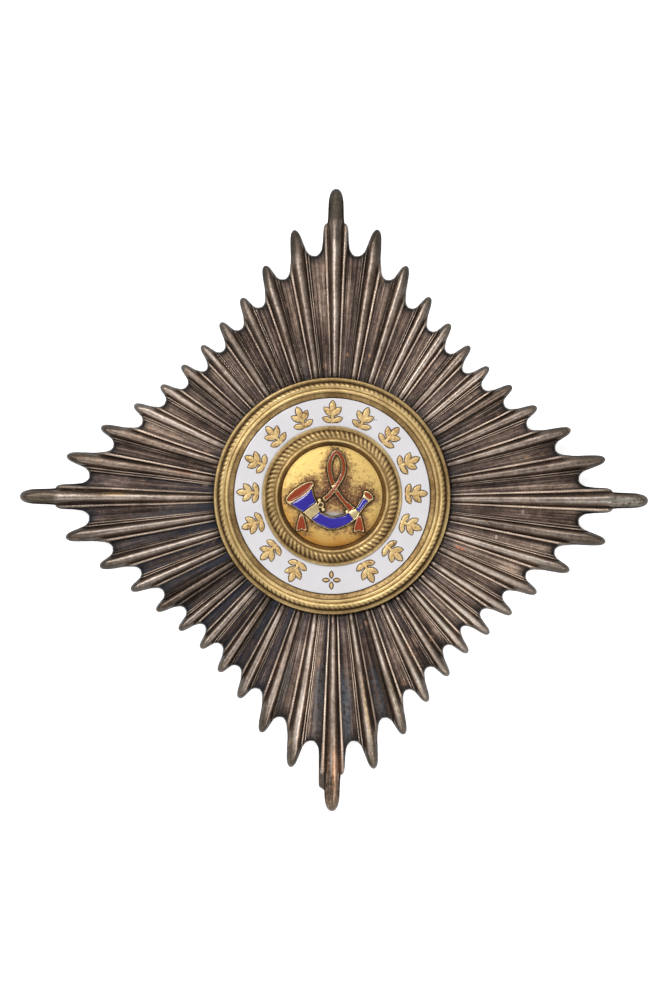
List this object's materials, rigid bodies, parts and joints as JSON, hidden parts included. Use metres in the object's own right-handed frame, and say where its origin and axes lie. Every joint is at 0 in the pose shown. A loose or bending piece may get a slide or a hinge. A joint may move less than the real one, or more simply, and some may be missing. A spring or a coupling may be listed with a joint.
{
  "type": "breast star",
  "caption": "Domed silver breast star of fluted rays with a round gilt and enamel medallion: a bugle-horn on gold inside a white ring, rope mouldings, and a brooch pin behind.",
  "frame": {"origin": "middle of the square that the four long tips stand on, on the surface that they rest on", "axes": "+Z out of the star's face, +Y towards its top ray, +X towards the right as it is looked at"},
  "size_m": [0.084, 0.0832, 0.0069],
  "materials": {
    "silver": "struck silver, tarnished grey and brown, polished by wear on the ridges",
    "gilt": "gilt silver, satin, dark in the grooves",
    "white_enamel": "opaque white fired enamel, glossy",
    "gilding": "fired gilding, slightly worn, with a thin dark outline",
    "gold": "gilt, bright on the rise, dark patina round the relief",
    "blue_enamel": "blue fired enamel, glossy",
    "red_enamel": "red fired enamel, glossy",
    "pin_silver": "silver sheet, filed smooth"
  },
  "bodies": {
    "root": {"star_body": "silver", "outer_bezel": "gilt", "enamel_ring": "white_enamel", "gilt_sprigs": "gilding", "gilt_quatrefoil": "gilding", "inner_bezel": "gilt", "gold_centre": "gold", "blue_enamel": "blue_enamel", "red_enamel": "red_enamel", "cord_enamel": "red_enamel", "tassel_enamel": "red_enamel", "brooch_pin": "pin_silver"}
  },
  "joints": []
}
